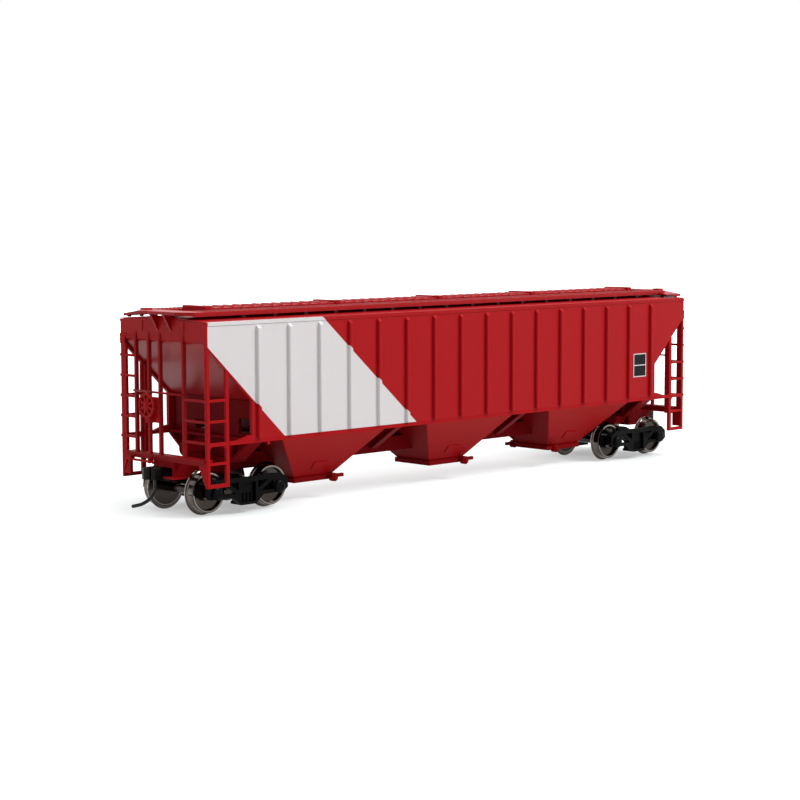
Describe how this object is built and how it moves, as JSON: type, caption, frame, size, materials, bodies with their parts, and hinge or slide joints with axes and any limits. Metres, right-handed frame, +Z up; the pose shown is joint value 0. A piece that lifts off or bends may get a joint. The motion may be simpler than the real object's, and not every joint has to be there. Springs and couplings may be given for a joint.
{
  "type": "model covered hopper car",
  "caption": "Scale model covered hopper car: ribbed body on funnel bays, long roof hatch, end ladders, hand brake, swivelling trucks with rolling wheels and swinging couplers.",
  "frame": {"origin": "middle of the underside of the overall bounding box: midway between the coupler ends, on the line of the wheel flange bottoms", "axes": "+X along the car, from the hand-brake end to the other end; +Y across the car; +Z up"},
  "size_m": [0.2082, 0.0366, 0.0523],
  "materials": {
    "body_plastic": "semi-gloss red paint, one white slanted band on each side",
    "truck_plastic": "black moulded plastic, slight sheen",
    "coupler_plastic": "black moulded plastic",
    "wheel_metal": "turned metal, dark nickel plate",
    "bright_steel": "bright steel",
    "weight_steel": "plain rolled steel",
    "blackened_steel": "blackened steel wire"
  },
  "bodies": {
    "car": {"body_shell": "body_plastic", "slope_sheet_b": "body_plastic", "slope_sheet_a": "body_plastic", "hopper_bay_1": "body_plastic", "outlet_gate_1": "body_plastic", "hopper_bay_2": "body_plastic", "outlet_gate_2": "body_plastic", "hopper_bay_3": "body_plastic", "outlet_gate_3": "body_plastic", "gate_gears": "body_plastic", "cross_webs": "body_plastic", "centre_sill": "body_plastic", "draft_sill_b": "body_plastic", "draft_sill_a": "body_plastic", "body_bolster_b": "body_plastic", "body_bolster_a": "body_plastic", "side_sills": "body_plastic", "coupler_lid_b": "body_plastic", "coupler_lid_a": "body_plastic", "uncoupling_lever_b": "body_plastic", "uncoupling_lever_a": "body_plastic", "end_frame_b": "body_plastic", "end_frame_a": "body_plastic", "corner_ladder_b_far": "body_plastic", "corner_ladder_b_near": "body_plastic", "corner_ladder_a_near": "body_plastic", "corner_ladder_a_far": "body_plastic", "brake_gearbox": "body_plastic", "brake_wheel": "body_plastic", "air_reservoir": "body_plastic", "control_valve": "body_plastic", "brake_cylinder": "body_plastic", "roof_deck": "body_plastic", "hatch_cover_1": "body_plastic", "hatch_cover_2": "body_plastic", "hatch_cover_3": "body_plastic", "hatch_cover_4": "body_plastic", "hatch_battens": "body_plastic", "hatch_latches": "body_plastic", "roof_walk": "body_plastic", "steel_weight": "weight_steel", "coupler_screws": "bright_steel", "kingpin_screws": "bright_steel"},
    "truck_b": {"truck_frame_b": "truck_plastic"},
    "truck_a": {"truck_frame_a": "truck_plastic"},
    "wheelset_1": {"wheels_1": "wheel_metal", "axle_1": "wheel_metal"},
    "wheelset_2": {"wheels_2": "wheel_metal", "axle_2": "wheel_metal"},
    "wheelset_3": {"wheels_3": "wheel_metal", "axle_3": "wheel_metal"},
    "wheelset_4": {"wheels_4": "wheel_metal", "axle_4": "wheel_metal"},
    "coupler_b": {"coupler_body_b": "coupler_plastic"},
    "knuckle_b": {"knuckle_b": "coupler_plastic", "trip_pin_b": "blackened_steel"},
    "coupler_a": {"coupler_body_a": "coupler_plastic"},
    "knuckle_a": {"knuckle_a": "coupler_plastic", "trip_pin_a": "blackened_steel"}
  },
  "joints": [
    {"name": "truck_b_swivel", "type": "hinge", "parent": "car", "child": "truck_b", "pos_m": [-0.078, 0, 0.0091], "axis": [0, 0, 1], "range_deg": [-10, 10]},
    {"name": "coupler_b_swing", "type": "hinge", "parent": "car", "child": "coupler_b", "pos_m": [-0.0875, 0, 0.0109], "axis": [0, 0, 1], "range_deg": [-12, 12]},
    {"name": "knuckle_b_hinge", "type": "hinge", "parent": "coupler_b", "child": "knuckle_b", "pos_m": [-0.09695, 0.0005, 0.0109], "axis": [0, 0, -1], "range_deg": [0, 25], "stiffness_Nm_per_rad": 0.0002},
    {"name": "truck_a_swivel", "type": "hinge", "parent": "car", "child": "truck_a", "pos_m": [0.078, 0, 0.0091], "axis": [0, 0, 1], "range_deg": [-10, 10]},
    {"name": "coupler_a_swing", "type": "hinge", "parent": "car", "child": "coupler_a", "pos_m": [0.0875, 0, 0.0109], "axis": [0, 0, 1], "range_deg": [-12, 12]},
    {"name": "knuckle_a_hinge", "type": "hinge", "parent": "coupler_a", "child": "knuckle_a", "pos_m": [0.09695, -0.0005, 0.0109], "axis": [0, 0, -1], "range_deg": [0, 25], "stiffness_Nm_per_rad": 0.0002},
    {"name": "wheelset_1_spin", "type": "hinge", "parent": "truck_b", "child": "wheelset_1", "pos_m": [-0.0882, 0, 0.0059], "axis": [0, 1, 0], "continuous": true},
    {"name": "wheelset_2_spin", "type": "hinge", "parent": "truck_b", "child": "wheelset_2", "pos_m": [-0.0678, 0, 0.0059], "axis": [0, 1, 0], "continuous": true},
    {"name": "wheelset_3_spin", "type": "hinge", "parent": "truck_a", "child": "wheelset_3", "pos_m": [0.0678, 0, 0.0059], "axis": [0, 1, 0], "continuous": true},
    {"name": "wheelset_4_spin", "type": "hinge", "parent": "truck_a", "child": "wheelset_4", "pos_m": [0.0882, 0, 0.0059], "axis": [0, 1, 0], "continuous": true}
  ]
}
